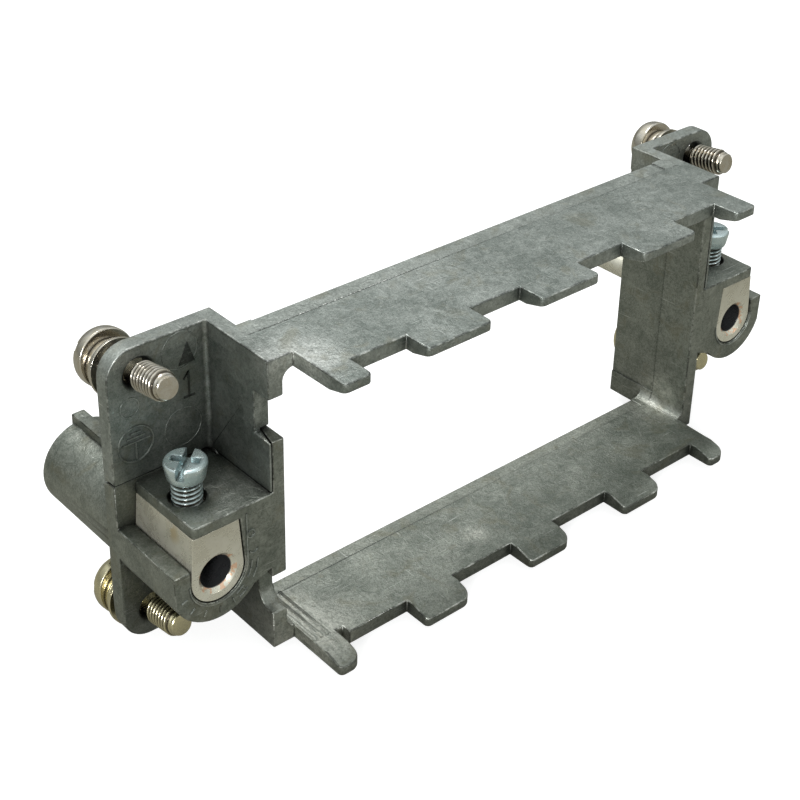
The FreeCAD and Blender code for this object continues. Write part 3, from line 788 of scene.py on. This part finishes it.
def white_share(tree):
    """How much of the white surroundings a ray meets: all of it, or a share where metal mirrors it."""
    link = tree.links.new
    path = add(tree, "ShaderNodeLightPath")
    direct = add(tree, "ShaderNodeMath", operation="MAXIMUM")
    link(path.outputs["Is Camera Ray"], direct.inputs[0])
    link(path.outputs["Is Transmission Ray"], direct.inputs[1])
    mirrored = add(tree, "ShaderNodeMath", operation="MULTIPLY")
    link(path.outputs["Is Glossy Ray"], mirrored.inputs[0])
    mirrored.inputs[1].default_value = MIRRORED_WHITE
    seen = add(tree, "ShaderNodeMath", operation="MAXIMUM")
    link(direct.outputs[0], seen.inputs[0])
    link(mirrored.outputs[0], seen.inputs[1])
    return seen.outputs[0]


def show(tree, seen, room, white, output):
    """Mixes what the room's rays and what the camera's rays meet."""
    pick = add(tree, "ShaderNodeMixShader")
    for socket, value in zip(pick.inputs, (seen, room.outputs[0], white.outputs[0])):
        tree.links.new(value, socket)
    tree.links.new(pick.outputs[0], add(tree, output).inputs["Surface"])


def make_floor(z):
    """White to the camera but for the object's shadow; a dim table in reflections."""
    bm = bmesh.new()
    bmesh.ops.create_grid(bm, x_segments=2, y_segments=2, size=FLOOR_HALF)
    mesh = bpy.data.meshes.new("floor")
    bm.to_mesh(mesh)
    bm.free()
    floor = bpy.data.objects.new("floor", mesh)
    floor.location.z = z
    scene.collection.objects.link(floor)
    material = bpy.data.materials.new("floor")
    material.use_nodes = True
    tree = material.node_tree
    tree.nodes.clear()
    pale = add(tree, "ShaderNodeBsdfDiffuse")
    pale.inputs["Color"].default_value = (0.5, 0.5, 0.5, 1)
    glow = add(tree, "ShaderNodeEmission")
    glow.inputs["Strength"].default_value = 0.8
    white = add(tree, "ShaderNodeAddShader")
    tree.links.new(pale.outputs[0], white.inputs[0])
    tree.links.new(glow.outputs[0], white.inputs[1])
    table = add(tree, "ShaderNodeBsdfDiffuse")
    table.inputs["Color"].default_value = (0.15, 0.145, 0.105, 1)
    show(tree, white_share(tree), table, white, "ShaderNodeOutputMaterial")
    mesh.materials.append(material)


def make_world():
    """White to the camera; a soft room with a bright ceiling and dim walls to everything else."""
    world = bpy.data.worlds.new("world")
    scene.world = world
    world.use_nodes = True
    tree = world.node_tree
    tree.nodes.clear()
    link = tree.links.new
    coords = add(tree, "ShaderNodeTexCoord")
    split = add(tree, "ShaderNodeSeparateXYZ")
    link(coords.outputs["Generated"], split.inputs[0])
    rise = add(tree, "ShaderNodeValToRGB")
    link(split.outputs["Z"], rise.inputs[0])
    stops = rise.color_ramp.elements
    stops[0].color, stops[1].color = ROOM[0][1] + (1,), ROOM[-1][1] + (1,)
    for where, tone in ROOM[1:-1]:
        stops.new(where).color = tone + (1,)
    drift = add(tree, "ShaderNodeTexNoise")
    drift.inputs["Scale"].default_value = 2.2
    drift.inputs["Detail"].default_value = 1.0
    link(coords.outputs["Generated"], drift.inputs["Vector"])
    level = add(tree, "ShaderNodeMapRange")
    link(drift.outputs["Fac"], level.inputs["Value"])
    for key, value in (("From Min", 0.3), ("From Max", 0.7), ("To Min", 0.55), ("To Max", 1.3)):
        level.inputs[key].default_value = value
    room = add(tree, "ShaderNodeBackground")
    link(rise.outputs["Color"], room.inputs["Color"])
    link(level.outputs[0], room.inputs["Strength"])
    white = add(tree, "ShaderNodeBackground")
    white.inputs["Color"].default_value = (1, 1, 1, 1)
    show(tree, white_share(tree), room, white, "ShaderNodeOutputWorld")


def area_light(name, place, size, power):
    """A round lamp that points at the origin."""
    data = bpy.data.lights.new(name, "AREA")
    data.shape, data.size, data.energy = "DISK", size, power
    lamp = bpy.data.objects.new(name, data)
    scene.collection.objects.link(lamp)
    lamp.location = place
    lamp.rotation_euler = (-Vector(place)).to_track_quat("-Z", "Y").to_euler()


def make_lights():
    make_world()
    for lamp in LAMPS:
        area_light(*lamp)


# The object
# pale streaks on the castings, as (place, radius)
LOWER_FLOWS = [((-28.4, -12.0, -15.0), 7.0), ((-28.4, -7.0, -15.0), 4.0), ((29.0, -6.0, -13.5), 4.5),
               ((-5.0, -10.5, -15.0), 2.0)]
UPPER_FLOWS = [((-28.6, -11.0, 16.5), 4.8)]


def build():
    zinc = zinc_material("zinc_casting")
    # the lower half is a darker copy of the zinc, painted shade where the upper rail keeps the light off,
    # and a little warmer
    zinc_lower_shaded = zinc_material("zinc_casting_lower_shaded", 0.82, warm=0.07, rail=-1, flows=LOWER_FLOWS)
    zinc_high = zinc_material("zinc_casting_upper", rail=1, flows=UPPER_FLOWS)
    zinc_dark = zinc_material("zinc_mark", 0.3)
    raised = zinc_material("zinc_raised", 1.35)
    bright = steel_material("zinc_flash", (0.82, 0.83, 0.8), (0.72, 0.73, 0.7), 0.25, 0.1)
    nickel = steel_material("nickel_steel", (0.76, 0.72, 0.65), (0.66, 0.60, 0.49), 0.09, 0.2)
    yellow = steel_material("yellow_zinc_steel", (0.88, 0.80, 0.52), (0.74, 0.68, 0.46), 0.12, 0.3)
    blue = steel_material("blue_zinc_steel", (0.76, 0.87, 0.88), (0.58, 0.71, 0.73), 0.17, 0.2, 0.86)
    dressed("lower_half", zinc_lower_shaded, CASTING_ROUND, tabs=True)
    dressed("upper_half", zinc_high, CASTING_ROUND, tabs=True)
    for end, side in (("left", -1), ("right", 1)):
        dressed("pe_contact_" + end, contact_material("plated_contact_" + end, side), CONTACT_ROUND)
        pe_screw(end, side, blue)
        dressed("hinge_pin_" + end, nickel, PIN_ROUND)
    for corner in HANGING:
        finish = nickel if corner.startswith("upper") else yellow
        fixing_screw(corner, finish)
        dressed("flat_washer_" + corner, finish, WASHER_ROUND)
        dressed("spring_washer_" + corner, finish, WASHER_ROUND)
    flange_marks(raised, zinc_dark)
    cradle_marks(raised)
    make_fillets(zinc)
    make_flash(bright)


make_camera()
scene.view_settings.view_transform = "Standard"
make_lights()
build()
make_floor(cad_box[0][2] - FLOOR_DROP)
